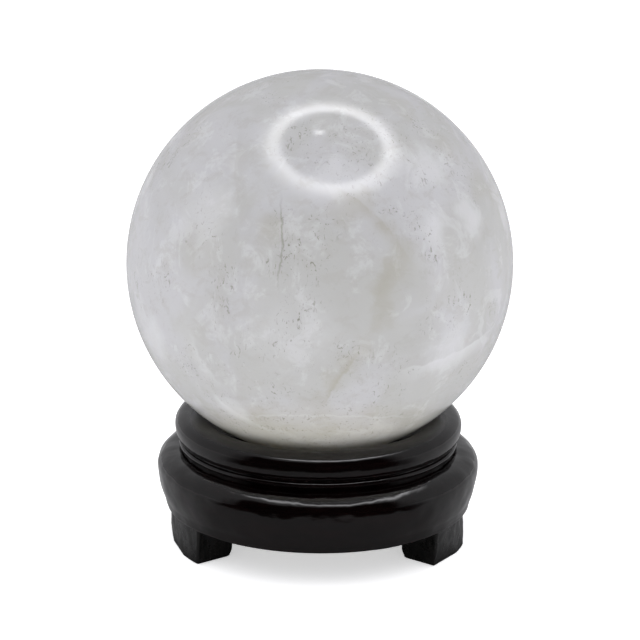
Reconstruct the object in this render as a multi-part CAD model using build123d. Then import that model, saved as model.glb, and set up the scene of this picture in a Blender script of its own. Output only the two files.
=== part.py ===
import os
from math import asin, cos, sin, tan

from build123d import *

# A crystal ball on its display stand, in millimetres.
#
# A polished sphere of clouded rock crystal rests in a turned, black-lacquered hardwood stand. The stand
# is glued up from a collar, whose conical bevel is the ball's seat, a bellied base ring, and three
# hand-carved feet, each pinned to the base ring by a hidden dowel.
#
# +Z is up and -Y is the front, which looks into the wide arch between the two front feet. The origin is
# on the turning axis, in the plane that the feet stand on. The sections below are drawn as
# (radius, height) pairs and turned about +Z.

# Driving dimensions
BALL_RADIUS = 50.0
STAND_HEIGHT = 34.5        # ground to the collar's crest
BALL_SINK = 9.9            # collar's crest down to the ball's lowest point
SEAT_RADIUS = 23.0         # circle on which the ball touches the bevel
SEAT_CLEARANCE = 0.2       # bevel's distance from the ball, where a real ball would touch
BORE_RADIUS = 21.0         # straight hole up the middle of the collar and the base ring
FOOT_HEIGHT = 9.3          # ground to the base ring's underside

# Collar
CREST_RADIUS = 33.9
CREST_ROUND = 3.9          # width of the curve from the bevel to the crest
COLLAR_RADIUS = 37.5
COLLAR_WAIST_Z = 31.3      # height of the collar's widest circle
COLLAR_BOTTOM_Z = 27.6
COLLAR_BOTTOM_RADIUS = 36.0
SEAM_Z = 27.3              # the collar is glued to the base ring on this plane
GROOVE_RADIUS = 35.7

# Spigot under the collar, which centres it in the base ring's rebate
SPIGOT_RADIUS = 27.0
SPIGOT_DEPTH = 4.0
SPIGOT_CLEARANCE = 0.1     # glue gap around the spigot and under it

# Base ring
BEAD_TOP_Z = 27.1          # small turned bead in the middle of the groove
BEAD_BOTTOM_Z = 25.5
BEAD_RADIUS = 36.5
SHOULDER_TOP_Z = 24.9
SHOULDER_TOP_RADIUS = 36.2
BELLY_RADIUS = 42.0
BELLY_Z = 20.5
LIP_TOP_RADIUS = 40.3      # the belly tapers down to a narrow upright lip
LIP_TOP_Z = 12.0
LIP_RADIUS = 39.9
LIP_Z = 10.4

# Feet, placed by their azimuth from the front, positive towards +X
FOOT_AZIMUTHS = {"foot_front_left": -66.0, "foot_front_right": 66.0, "foot_back": 180.0}
FOOT_SPAN = 28.0           # degrees of the ring that a foot takes up
FOOT_OUTER_RADIUS = 39.1
FOOT_INNER_RADIUS = 26.5
FOOT_OUTER_ROUND = 0.8
FOOT_INNER_ROUND = 3.0
FOOT_SOLE_ROUND = 0.6

# Dowels, one up from each foot into the base ring
DOWEL_RADIUS = 2.0
DOWEL_LENGTH = 12.0
DOWEL_BOTTOM_Z = 3.5
DOWEL_CIRCLE_RADIUS = 33.0
DOWEL_END_GAP = 0.4        # air above the dowel in the base ring's hole

# The ball and its seat, worked out from the dimensions above
ball_centre_z = STAND_HEIGHT - BALL_SINK + BALL_RADIUS
seat_angle = asin(SEAT_RADIUS / BALL_RADIUS)
seat_normal_reach = BALL_RADIUS + SEAT_CLEARANCE


def seat_height(radius):
    """Height of the bevel's cone, which stays parallel to the ball's surface at the touching circle."""
    axis_height = ball_centre_z - seat_normal_reach / cos(seat_angle)
    return axis_height + radius * tan(seat_angle)


def turned(section):
    """Solid of revolution about +Z from a closed section of (radius, height) edges."""
    return revolve(Plane.XZ * make_face(section), Axis.Z)


def crystal_ball():
    """The polished sphere, resting on the collar's bevel."""
    return Pos(0, 0, ball_centre_z) * Sphere(BALL_RADIUS)


def collar():
    """Upper ring: bevelled seat, rounded crest, full outer side, and a spigot underneath."""
    bevel_top_radius = CREST_RADIUS - CREST_ROUND
    bevel_top = (bevel_top_radius, seat_height(bevel_top_radius))
    bevel_bottom = (BORE_RADIUS, seat_height(BORE_RADIUS))
    spigot_bottom_z = SEAM_Z - SPIGOT_DEPTH
    bevel_direction = (cos(seat_angle), sin(seat_angle))
    crest = (CREST_RADIUS, STAND_HEIGHT)
    outer_side = EllipticalCenterArc(
        (CREST_RADIUS, COLLAR_WAIST_Z),
        COLLAR_RADIUS - CREST_RADIUS,
        STAND_HEIGHT - COLLAR_WAIST_Z,
        start_angle=0,
        arc_size=90,
    )
    tuck_under = EllipticalCenterArc(
        (COLLAR_BOTTOM_RADIUS, COLLAR_WAIST_Z),
        COLLAR_RADIUS - COLLAR_BOTTOM_RADIUS,
        COLLAR_WAIST_Z - COLLAR_BOTTOM_Z,
        start_angle=270,
        arc_size=90,
    )
    section = [
        Line(bevel_bottom, bevel_top),
        Spline(bevel_top, crest, tangents=[bevel_direction, (1, 0)]),
        outer_side,
        tuck_under,
        Polyline(
            (COLLAR_BOTTOM_RADIUS, COLLAR_BOTTOM_Z),
            (GROOVE_RADIUS, COLLAR_BOTTOM_Z),
            (GROOVE_RADIUS, SEAM_Z),
            (SPIGOT_RADIUS - SPIGOT_CLEARANCE, SEAM_Z),
            (SPIGOT_RADIUS - SPIGOT_CLEARANCE, spigot_bottom_z),
            (BORE_RADIUS, spigot_bottom_z),
            bevel_bottom,
        ),
    ]
    return turned(section)


def dowel_place(azimuth):
    """Location of a foot's dowel axis, on the ground plane."""
    return Rot(0, 0, azimuth) * Pos(0, -DOWEL_CIRCLE_RADIUS, 0)


def base_ring():
    """Lower ring: grooved top with a bead, tapering belly and rounded lip, bored for the dowels."""
    bead_middle_z = (BEAD_TOP_Z + BEAD_BOTTOM_Z) / 2
    rebate_bottom_z = SEAM_Z - SPIGOT_DEPTH - SPIGOT_CLEARANCE
    shoulder = EllipticalCenterArc(
        (SHOULDER_TOP_RADIUS, BELLY_Z),
        BELLY_RADIUS - SHOULDER_TOP_RADIUS,
        SHOULDER_TOP_Z - BELLY_Z,
        start_angle=0,
        arc_size=90,
    )
    lip_corner = EllipticalCenterArc(
        (FOOT_OUTER_RADIUS, LIP_Z),
        LIP_RADIUS - FOOT_OUTER_RADIUS,
        LIP_Z - FOOT_HEIGHT,
        start_angle=270,
        arc_size=90,
    )
    section = [
        Polyline(
            (SPIGOT_RADIUS, SEAM_Z),
            (GROOVE_RADIUS, SEAM_Z),
            (GROOVE_RADIUS, BEAD_TOP_Z),
        ),
        ThreePointArc(
            (GROOVE_RADIUS, BEAD_TOP_Z),
            (BEAD_RADIUS, bead_middle_z),
            (GROOVE_RADIUS, BEAD_BOTTOM_Z),
        ),
        Polyline(
            (GROOVE_RADIUS, BEAD_BOTTOM_Z),
            (GROOVE_RADIUS, SHOULDER_TOP_Z),
            (SHOULDER_TOP_RADIUS, SHOULDER_TOP_Z),
        ),
        shoulder,
        Bezier(
            (BELLY_RADIUS, BELLY_Z),
            (BELLY_RADIUS, (BELLY_Z + LIP_TOP_Z) / 2),
            (LIP_TOP_RADIUS, LIP_TOP_Z),
        ),
        Line((LIP_TOP_RADIUS, LIP_TOP_Z), (LIP_RADIUS, LIP_Z)),
        lip_corner,
        Polyline(
            (FOOT_OUTER_RADIUS, FOOT_HEIGHT),
            (BORE_RADIUS, FOOT_HEIGHT),
            (BORE_RADIUS, rebate_bottom_z),
            (SPIGOT_RADIUS, rebate_bottom_z),
            (SPIGOT_RADIUS, SEAM_Z),
        ),
    ]
    ring = turned(section)
    hole_depth = DOWEL_BOTTOM_Z + DOWEL_LENGTH + DOWEL_END_GAP - FOOT_HEIGHT
    for azimuth in FOOT_AZIMUTHS.values():
        hole = Pos(0, 0, FOOT_HEIGHT + hole_depth / 2) * Cylinder(DOWEL_RADIUS, hole_depth)
        ring -= dowel_place(azimuth) * hole
    return ring


def foot(azimuth):
    """A wedge of the ring's lower edge, rounded where it was carved, with its dowel's hole."""
    section = Polyline(
        (FOOT_INNER_RADIUS, 0),
        (FOOT_OUTER_RADIUS, 0),
        (FOOT_OUTER_RADIUS, FOOT_HEIGHT),
        (FOOT_INNER_RADIUS, FOOT_HEIGHT),
        close=True,
    )
    front_section = Plane(origin=(0, 0, 0), x_dir=(0, -1, 0), z_dir=(-1, 0, 0)) * make_face(section)
    wedge = Rot(0, 0, -FOOT_SPAN / 2) * revolve(front_section, Axis.Z, FOOT_SPAN)
    outer_uprights = wedge.edges().filter_by(Axis.Z).sort_by(Axis.Y)[:2]
    wedge = fillet(outer_uprights, FOOT_OUTER_ROUND)
    inner_uprights = wedge.edges().filter_by(Axis.Z).sort_by(Axis.Y)[-2:]
    wedge = fillet(inner_uprights, FOOT_INNER_ROUND)
    sole = wedge.faces().sort_by(Axis.Z)[0]
    wedge = fillet(sole.edges(), FOOT_SOLE_ROUND)
    hole_depth = FOOT_HEIGHT - DOWEL_BOTTOM_Z
    hole = Pos(0, 0, DOWEL_BOTTOM_Z + hole_depth / 2) * Cylinder(DOWEL_RADIUS, hole_depth)
    return Rot(0, 0, azimuth) * wedge - dowel_place(azimuth) * hole


def dowels():
    """The three glued dowels, one in each foot."""
    pin = Pos(0, 0, DOWEL_BOTTOM_Z + DOWEL_LENGTH / 2) * Cylinder(DOWEL_RADIUS, DOWEL_LENGTH)
    return Compound(children=[dowel_place(azimuth) * pin for azimuth in FOOT_AZIMUTHS.values()])


nodes = {
    "crystal_ball": crystal_ball(),
    "stand_collar": collar(),
    "stand_base_ring": base_ring(),
    "foot_dowels": dowels(),
}
for foot_name, foot_azimuth in FOOT_AZIMUTHS.items():
    nodes[foot_name] = foot(foot_azimuth)

os.makedirs("parts", exist_ok=True)
for node_name, shape in nodes.items():
    export_step(shape, f"parts/{node_name}.step")
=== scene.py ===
import math
import random

import bmesh
import bpy
from mathutils import Matrix, Vector, noise


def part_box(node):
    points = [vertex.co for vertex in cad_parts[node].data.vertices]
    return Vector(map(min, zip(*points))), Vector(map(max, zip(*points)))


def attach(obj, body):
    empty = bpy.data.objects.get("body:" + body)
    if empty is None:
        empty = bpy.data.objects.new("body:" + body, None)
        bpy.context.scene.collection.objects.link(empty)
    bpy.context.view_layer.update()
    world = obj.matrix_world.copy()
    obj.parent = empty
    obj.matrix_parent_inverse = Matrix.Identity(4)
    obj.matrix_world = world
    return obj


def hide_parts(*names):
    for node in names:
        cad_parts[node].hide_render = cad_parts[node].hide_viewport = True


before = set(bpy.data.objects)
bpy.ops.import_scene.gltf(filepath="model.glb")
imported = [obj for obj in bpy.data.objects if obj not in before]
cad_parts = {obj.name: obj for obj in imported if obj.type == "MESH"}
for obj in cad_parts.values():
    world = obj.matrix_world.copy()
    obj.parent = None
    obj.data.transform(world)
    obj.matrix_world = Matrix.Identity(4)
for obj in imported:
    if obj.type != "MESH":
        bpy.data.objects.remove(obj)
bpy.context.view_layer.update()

# ---------------- sizes taken from the frame
MM = 0.001
BALL_LOW, BALL_HIGH = (Vector(corner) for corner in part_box("crystal_ball"))
COLLAR_LOW, COLLAR_HIGH = (Vector(corner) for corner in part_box("stand_collar"))
RING_LOW = Vector(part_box("stand_base_ring")[0])
BALL_RADIUS = (BALL_HIGH.z - BALL_LOW.z) / 2
BALL_CENTRE = Vector((0, 0, (BALL_HIGH.z + BALL_LOW.z) / 2))
CREST_Z = COLLAR_HIGH.z
SPIGOT_Z = COLLAR_LOW.z
FOOT_HEIGHT = RING_LOW.z

# Radii and heights of the turned stand's section, as the CAD source has them
BORE_RADIUS = 21.0 * MM
SEAT_RADIUS = 23.0 * MM
SEAT_CLEARANCE = 0.2 * MM
CREST_RADIUS = 33.9 * MM
CREST_ROUND = 3.9 * MM
COLLAR_RADIUS = 37.5 * MM
COLLAR_WAIST_Z = 31.3 * MM
COLLAR_BOTTOM_RADIUS = 36.0 * MM
COLLAR_BOTTOM_Z = 27.6 * MM
SEAM_Z = 27.3 * MM
GROOVE_RADIUS = 35.7 * MM
SPIGOT_RADIUS = 27.0 * MM
SPIGOT_CLEARANCE = 0.1 * MM
BEAD_TOP_Z = 27.1 * MM
BEAD_BOTTOM_Z = 25.5 * MM
BEAD_RADIUS = 36.5 * MM
SHOULDER_TOP_RADIUS = 36.2 * MM
SHOULDER_TOP_Z = 24.9 * MM
BELLY_RADIUS = 42.0 * MM
BELLY_Z = 20.5 * MM
LIP_TOP_RADIUS = 40.3 * MM
LIP_TOP_Z = 12.0 * MM
LIP_RADIUS = 39.9 * MM
LIP_Z = 10.4 * MM

FOOT_AZIMUTHS = {"foot_front_left": -66.0, "foot_front_right": 66.0, "foot_back": 180.0}
FOOT_SPAN = 28.0
FOOT_OUTER_RADIUS = 39.1 * MM
FOOT_INNER_RADIUS = 26.5 * MM
FOOT_OUTER_ROUND = 0.8 * MM
FOOT_INNER_ROUND = 3.0 * MM
FOOT_SOLE_ROUND = 0.6 * MM

# The cloudy inside starts this far from the ball's centre; the skin's refraction makes it fill the ball
CORE_RADIUS = 38.0 * MM
CORE_LUMPS = 2.2 * MM
CRACK_THICKNESS = 0.12 * MM

# Hand finish: the lacquer's unevenness, the cut off a foot's inner heel, and the knife cuts on its outer
# face, as degrees from its middle, degrees of upward tilt and depth in millimetres
LACQUER_RIPPLE = 0.13 * MM
HEEL_CUT = 1.3 * MM
KNIFE_CUTS = ((-11, -2, 0.10), (-3.5, 2, 0.14), (4, -3, 0.14), (11, 2, 0.10), (-7, -12, 0.15))

# Fineness of the meshes
RING_SEGMENTS = 600
BALL_DIVISIONS = 56
CORE_DIVISIONS = 40
CORNER_STEPS = 8
FACE_STEPS = 30
SIDE_STEPS = 24
STROKE_STEPS = 5
RIBBON_STEPS = 60

# Colours of the crystal
QUARTZ_GREY = (0.61, 0.61, 0.60)
QUARTZ_LILAC = (0.65, 0.648, 0.665)
QUARTZ_WHITE = (0.79, 0.79, 0.81)
QUARTZ_SHADE = (0.57, 0.565, 0.54)
OLIVE_STAIN = (0.49, 0.47, 0.39)
SPECK_OLIVE = (0.26, 0.26, 0.20)
# Painted light: the lower ball is painted brighter and a little yellower, and much brighter lowest down, in
# place of the shade where it sits in the collar
PAINTED_LOWER_BALL_LIGHT = (1.08, 1.06, 0.98)
PAINTED_CONTACT_LIGHT = (1.36, 1.34, 1.27)
CORE_WHITE = (0.97, 0.97, 0.97)
CORE_SHADE = (0.80, 0.79, 0.77)
CORE_STAIN = (0.62, 0.61, 0.54)
DARK_FLECK = (0.22, 0.22, 0.17)
WHITE_FLECK = (0.98, 0.98, 1.0)
BRIGHT_CRACK = (1.0, 1.0, 1.0)

# How light passes the crystal's skin, and what its milkiness scatters back
QUARTZ_IOR = 1.544
SEE_THROUGH = 0.4
SCATTER_COLOUR = (1.0, 0.97, 0.92)
SCATTER_DEPTH = 9 * MM

# Colours of the wood, in the dark and the pale of its grain
LACQUER_COLOURS = ((0.0006, 0.0002, 0.0002), (0.0026, 0.0009, 0.0009))
CARVED_COLOURS = ((0.001, 0.001, 0.001), (0.005, 0.0045, 0.004))
DOWEL_COLOURS = ((0.34, 0.21, 0.11), (0.55, 0.38, 0.22))
LACQUER_IOR = 1.5

# The light tent: its walls, the bright ring overhead, and the dark opening and plinth's edge in front
SKY_STRENGTH = 1.5
SKY_LOW = 0.71
SKY_HIGH = 0.86
SKY_TINT = (0.975, 0.975, 1.0)
WALL_IN_GLOSS = (0.32, 0.32, 0.32)
OPENING_IN_GLOSS = (0.005, 0.005, 0.005)
OPENING_HALF_WIDTH = (52.0, 78.0)
OPENING_TOP = (math.radians(42), math.radians(49))
RING_DIRECTION = Vector((0.092, 0.0, 0.995))
RING_SQUEEZE = 1.12
RING_HALF_ANGLE = math.radians(29.0)
RING_WIDTHS = (math.radians(2.3), math.radians(4.2))
RING_STRENGTH = 3.3
LAMP_IN_BALL = (-0.007, 0.659)
LAMP_WIDTHS = (math.radians(1.3), math.radians(1.3))
LAMP_STRENGTH = 5.0

# The floor, and how bright gloss sees it at these distances from the stand's axis: painted shade, nearly
# black under the stand and dimmed near it
FLOOR_REACH = 6.0
FLOOR_WHITE = (0.92, 0.92, 0.92)
FLOOR_GLOW = 0.50
PAINTED_SHADOW_RADIUS = 0.034
PLINTH_RADIUS = 0.081
FLOOR_FADE = 0.01
FAR_FLOOR = (0.12, 0.35)
FLOOR_IN_GLOSS = {"under": 0.02, "ahead": 0.27, "beyond": 0.01, "around": 0.42, "far": 0.50}

# The camera looks down on the ball from the front, through a long lens in millimetres
VIEW_ELEVATION = math.radians(16.2)
CAMERA_DISTANCE = 0.9
CAMERA_AIM = Vector((0.0002, 0, -0.0155))
CAMERA_ROLL = math.radians(0.55)
LENS_LENGTH = 195.8
SENSOR_WIDTH = 36.0


def direction_at(turn, rise=0.0):
    """Unit vector at an azimuth from the front and a rise above level, both in radians."""
    level = math.cos(rise)
    return Vector((math.sin(turn) * level, -math.cos(turn) * level, math.sin(rise)))


TO_CAMERA = direction_at(0.0, VIEW_ELEVATION)


def in_ball(across, up, depth=0.0):
    """Point on the ball's near side, or depth metres under it, by its place as the camera sees the ball.

    across and up run from -1 to 1 over the ball's outline.
    """
    toward = math.sqrt(max(0.0, 1 - across * across - up * up))
    upward = Vector((0, math.sin(VIEW_ELEVATION), math.cos(VIEW_ELEVATION)))
    direction = Vector((across, 0, 0)) + up * upward + toward * TO_CAMERA
    return BALL_CENTRE + direction * (BALL_RADIUS - depth)


# ---------------- node helpers
def new_material(name):
    """Material with one Principled shader, and the tree to work on."""
    material = bpy.data.materials.new(name)
    material.use_nodes = True
    return material, material.node_tree


def set_input(tree, socket, value):
    """Gives an input a constant or another node's output."""
    if isinstance(value, bpy.types.NodeSocket):
        tree.links.new(value, socket)
    elif socket.type == "RGBA":
        socket.default_value = (*value, 1)
    else:
        socket.default_value = value


def set_shader(material, **inputs):
    """Sets the shader's own inputs, each to a constant or another node's output."""
    tree = material.node_tree
    for name, value in inputs.items():
        set_input(tree, tree.nodes["Principled BSDF"].inputs[name.replace("_", " ")], value)
    return material


def add_node(tree, kind, settings=None, **inputs):
    """New node with its settings and inputs; an input is a value or another node's output."""
    made = tree.nodes.new(kind)
    for name, value in (settings or {}).items():
        setattr(made, name, value)
    for name, value in inputs.items():
        set_input(tree, made.inputs[name.replace("_", " ")], value)
    return made


def object_place(tree, scale=(1, 1, 1)):
    """The point on the object, in metres, stretched by scale."""
    place = add_node(tree, "ShaderNodeTexCoord").outputs["Object"]
    return add_node(tree, "ShaderNodeMapping", Vector=place, Scale=scale).outputs["Vector"]


def noise_value(tree, place, scale, detail=4.0, rough=0.55, warp=0.0, kind="FBM"):
    """Noise of about one grain in 1/scale metres."""
    made = add_node(
        tree, "ShaderNodeTexNoise", {"noise_type": kind},
        Vector=place, Scale=scale, Detail=detail, Roughness=rough, Distortion=warp,
    )
    return made.outputs["Fac"]


def ramp(tree, value, stops, smooth=True):
    """Colour ramp from (position, colour) stops; a plain number is a grey."""
    made = add_node(tree, "ShaderNodeValToRGB", Fac=value)
    band = made.color_ramp
    band.interpolation = "EASE" if smooth else "LINEAR"
    while len(band.elements) < len(stops):
        band.elements.new(1.0)
    for element, (position, colour) in zip(band.elements, stops):
        element.position = position
        element.color = (colour, colour, colour, 1) if isinstance(colour, float) else (*colour, 1)
    return made.outputs["Color"]


def mix_colour(tree, factor, low, high, blend="MIX"):
    """Two colours mixed by a factor, each a colour or another node's output."""
    made = add_node(tree, "ShaderNodeMix", {"data_type": "RGBA", "blend_type": blend})
    colour_sockets = [socket for socket in made.inputs if socket.type == "RGBA"]
    for socket, value in zip([made.inputs[0], *colour_sockets], [factor, low, high]):
        set_input(tree, socket, value)
    return next(socket for socket in made.outputs if socket.type == "RGBA")


def arithmetic(tree, operation, first, second=0.0):
    """One math node's result."""
    made = add_node(tree, "ShaderNodeMath", {"operation": operation})
    for socket, value in zip(made.inputs, (first, second)):
        set_input(tree, socket, value)
    return made.outputs["Value"]


def vector_math(tree, operation, *vectors, output="Vector"):
    """One vector math node's result, a vector unless output asks for its Value."""
    made = add_node(tree, "ShaderNodeVectorMath", {"operation": operation})
    for socket, value in zip(made.inputs, vectors):
        set_input(tree, socket, value)
    return made.outputs[output]


def bump(tree, height, distance, strength=1.0):
    """Normal from a height of 0 to 1 over a distance in metres."""
    made = add_node(tree, "ShaderNodeBump", Height=height, Distance=distance, Strength=strength)
    return made.outputs["Normal"]


# ---------------- materials
def soft_spot(tree, place, centre, reach):
    """1 at a centre, fading to 0 at its reach."""
    fade = add_node(
        tree, "ShaderNodeMapRange", {"interpolation_type": "SMOOTHERSTEP"},
        Value=vector_math(tree, "DISTANCE", place, centre, output="Value"),
        From_Min=reach, From_Max=0.15 * reach, To_Min=0.0, To_Max=1.0,
    )
    return fade.outputs["Result"]


def drifting_place(tree, spread, scale):
    """Object place pushed about by noise, so that what is placed by it has torn, cloudy edges."""
    place = object_place(tree)
    drift = add_node(tree, "ShaderNodeTexNoise", Vector=place, Scale=scale, Detail=5.0, Roughness=0.6)
    centred = vector_math(tree, "SUBTRACT", drift.outputs["Color"], (0.5, 0.5, 0.5))
    return vector_math(tree, "MULTIPLY_ADD", centred, (spread, spread, spread), place)


def with_clouds(tree, colour, clouds, torn_place):
    """Colour with each (place, reach, strength, colour) cloud mixed in."""
    for centre, reach, strength, cloud_colour in clouds:
        amount = arithmetic(tree, "MULTIPLY", soft_spot(tree, torn_place, centre, reach), strength)
        colour = mix_colour(tree, amount, colour, cloud_colour)
    return colour


# Stains and white patches on the ball's near side: (across, up), reach, strength
STAINS = (
    (0.20, 0.32, 0.10, 0.28), (0.31, 0.20, 0.09, 0.28), (0.41, 0.08, 0.10, 0.28),
    (0.34, -0.03, 0.10, 0.31), (0.30, -0.12, 0.10, 0.31), (0.31, -0.22, 0.09, 0.31),
    (0.32, -0.31, 0.10, 0.31), (0.22, -0.41, 0.09, 0.28), (0.16, -0.49, 0.09, 0.28),
    (0.08, -0.60, 0.10, 0.28), (0.0, -0.72, 0.12, 0.25), (-0.26, 0.17, 0.12, 0.28),
    (0.12, 0.27, 0.12, 0.22), (-0.30, -0.76, 0.12, 0.25), (0.28, -0.73, 0.12, 0.25),
    (0.39, 0.79, 0.14, 0.22), (0.62, 0.60, 0.15, 0.22), (0.80, 0.42, 0.16, 0.25),
    (-0.84, 0.48, 0.17, 0.19), (-0.66, 0.62, 0.15, 0.19), (-0.19, 0.12, 0.10, 0.12),
    (-0.42, 0.50, 0.10, 0.12), (0.0, -0.92, 0.42, 0.22), (-0.35, -0.84, 0.30, 0.15),
    (0.38, -0.84, 0.30, 0.15), (-0.62, 0.05, 0.22, 0.09), (0.58, -0.12, 0.16, 0.07),
)
WHITE_PATCHES = (
    (-0.13, -0.37, 0.34, 0.30), (0.75, 0.25, 0.16, 0.75), (0.53, 0.49, 0.17, 0.70),
    (0.56, 0.16, 0.13, 0.60), (-0.74, 0.63, 0.12, 0.70), (-0.87, 0.43, 0.10, 0.70),
    (0.94, 0.24, 0.12, 0.60), (-0.84, -0.41, 0.22, 0.70), (-0.43, -0.75, 0.13, 0.60),
    (0.66, -0.42, 0.22, 0.55), (-0.55, 0.25, 0.22, 0.45), (0.10, 0.42, 0.20, 0.35),
)
SCATTERED_CLOUDS = 14


def surface_clouds():
    """Clouds as (place, reach, strength, colour): the near side's placed, the rest scattered."""
    clouds = []
    for table, colour in ((STAINS, OLIVE_STAIN), (WHITE_PATCHES, QUARTZ_WHITE)):
        for across, up, reach, amount in table:
            clouds.append((in_ball(across, up), reach * BALL_RADIUS, amount, colour))
    pick = random.Random(31)
    for i in range(SCATTERED_CLOUDS):
        turn = math.radians(pick.uniform(70, 290))
        rise = math.radians(pick.uniform(-50, 65))
        colour, amount = (OLIVE_STAIN, 0.32) if i % 2 else (QUARTZ_WHITE, 0.6)
        place = BALL_CENTRE + BALL_RADIUS * direction_at(turn, rise)
        clouds.append((place, pick.uniform(7, 17) * MM, amount, colour))
    return clouds


def plane_gap(tree, place, path):
    """Distance above the flat plane through three (across, up) places on the ball."""
    first, middle, last = (in_ball(across, up) for across, up in path)
    facing = (middle - first).cross(last - middle).normalized()
    if facing.z < 0:
        facing = -facing
    along = vector_math(tree, "DOT_PRODUCT", place, facing, output="Value")
    return arithmetic(tree, "SUBTRACT", along, middle.dot(facing))


# Cracks, and the painted rim line: three places along each, reach, width below and above in millimetres,
# strength, colour
# Painted image of the collar's far rim as seen through the ball: a thin white line along a flat plane
PAINTED_RIM_LINE = ((-0.60, -0.775), (0.0, -0.765), (0.60, -0.775))
STREAKS = (
    (((0.89, -0.31), (0.68, -0.45), (0.40, -0.53)), 0.48, 4.5, 0.5, 0.75, QUARTZ_WHITE),
    (((-0.50, -0.69), (-0.43, -0.75), (-0.35, -0.80)), 0.20, 0.5, 1.2, 0.85, QUARTZ_WHITE),
    (((-0.62, -0.42), (-0.58, -0.50), (-0.52, -0.58)), 0.22, 0.5, 2.5, 0.45, QUARTZ_WHITE),
    (((-0.19, 0.32), (-0.185, 0.10), (-0.20, -0.12)), 0.30, 0.35, 0.35, 0.55, SPECK_OLIVE),
    (((-0.40, 0.66), (-0.42, 0.42), (-0.40, 0.20)), 0.40, 0.4, 3.5, 0.40, QUARTZ_SHADE),
    (((-0.49, 0.0), (-0.50, -0.16), (-0.47, -0.32)), 0.26, 0.4, 2.5, 0.35, QUARTZ_SHADE),
    (((0.10, 0.36), (0.28, 0.22), (0.42, 0.06)), 0.38, 2.2, 0.5, 0.34, OLIVE_STAIN),
    (((0.42, 0.06), (0.31, -0.06), (0.28, -0.20)), 0.26, 0.6, 2.6, 0.34, OLIVE_STAIN),
    (((0.18, -0.46), (0.10, -0.58), (0.02, -0.72)), 0.26, 0.5, 1.2, 0.55, OLIVE_STAIN),
    (((0.16, 0.35), (0.40, 0.44), (0.52, 0.60)), 0.36, 0.4, 2.2, 0.30, QUARTZ_WHITE),
    # The painted rim line, a painted image of the collar's far rim seen through the ball
    (PAINTED_RIM_LINE, 0.80, 0.35, 0.35, 0.45, QUARTZ_WHITE),
)
# A streak's colour ramp spans this many millimetres, with the streak's plane in its middle
STREAK_SPAN = 20


def with_streaks(tree, colour, streaks, torn_place):
    """Colour with flat cracks and the painted rim line mixed in, from a table like STREAKS."""
    for path, reach, below, above, strength, streak_colour in streaks:
        gap = plane_gap(tree, torn_place, path)
        side = arithmetic(tree, "ADD", arithmetic(tree, "DIVIDE", gap, STREAK_SPAN * MM), 0.5)
        stops = [(0.5 - below / STREAK_SPAN, 0.0), (0.5, 1.0), (0.5 + above / STREAK_SPAN, 0.0)]
        band = ramp(tree, side, stops, smooth=False)
        near = soft_spot(tree, torn_place, in_ball(*path[1]), reach * BALL_RADIUS)
        amount = arithmetic(tree, "MULTIPLY", arithmetic(tree, "MULTIPLY", band, near), strength)
        colour = mix_colour(tree, amount, colour, streak_colour)
    return colour


# Clusters of specks: (across, up), reach, strength
SPECK_CLUSTERS = (
    (0.0, 0.20, 0.16, 1.0), (-0.10, 0.02, 0.22, 1.0), (-0.20, 0.0, 0.12, 1.0), (-0.11, -0.29, 0.16, 1.0),
    (-0.20, 0.22, 0.10, 0.8), (-0.56, 0.17, 0.14, 0.8), (-0.48, -0.06, 0.14, 0.9), (-0.50, -0.24, 0.14, 0.7),
    (0.50, 0.18, 0.14, 1.0), (0.36, 0.27, 0.14, 0.7), (0.55, 0.07, 0.12, 0.8), (0.48, 0.70, 0.12, 1.0),
    (0.74, 0.42, 0.18, 1.0), (0.14, -0.44, 0.14, 1.0), (0.54, -0.30, 0.10, 0.8), (0.45, -0.53, 0.10, 0.9),
    (0.72, -0.21, 0.12, 0.9), (0.88, -0.21, 0.10, 0.8), (-0.80, 0.50, 0.24, 1.0), (-0.70, 0.62, 0.16, 0.8),
    (-0.26, 0.82, 0.12, 0.9), (-0.12, 0.60, 0.24, 0.7), (0.08, 0.52, 0.22, 0.7), (-0.22, -0.66, 0.20, 0.8),
    (-0.66, -0.52, 0.16, 0.8), (0.33, -0.65, 0.18, 0.8), (0.0, -0.88, 0.60, 0.8), (-0.80, -0.08, 0.18, 0.8),
)


def speck_share(tree):
    """1 on tiny torn specks, which gather in clusters, and 0 elsewhere."""
    grains = noise_value(tree, object_place(tree, (1.0, 0.9, 0.6)), 700, detail=6, rough=0.68, warp=2.0)
    share = ramp(tree, noise_value(tree, object_place(tree), 60, detail=3), [(0.49, 0.0), (0.66, 0.6)])
    torn_place = drifting_place(tree, 0.006, 150)
    for across, up, reach, amount in SPECK_CLUSTERS:
        spot = soft_spot(tree, torn_place, in_ball(across, up), reach * BALL_RADIUS)
        share = arithmetic(tree, "MAXIMUM", share, arithmetic(tree, "MULTIPLY", spot, amount))
    specks = ramp(tree, grains, [(0.585, 0.0), (0.64, 0.85)], smooth=False)
    return arithmetic(tree, "MULTIPLY", specks, share)


def with_painted_lower_light(tree, colour):
    """Colour painted yellowish and brighter below the painted rim line, and paler again from 1.5 to 8.5 mm
    below it: painted light in place of the shade where the ball sits in the collar.
    """
    gap = plane_gap(tree, drifting_place(tree, 0.0015, 160), PAINTED_RIM_LINE)
    raised = arithmetic(tree, "ADD", gap, 0.5)
    under = ramp(tree, raised, [(0.4997, 1.0), (0.5003, 0.0)], smooth=False)
    lowest = ramp(tree, raised, [(0.4915, 1.0), (0.4985, 0.0)], smooth=False)
    painted_light = mix_colour(tree, lowest, PAINTED_LOWER_BALL_LIGHT, PAINTED_CONTACT_LIGHT)
    return mix_colour(tree, under, colour, painted_light, blend="MULTIPLY")


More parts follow.
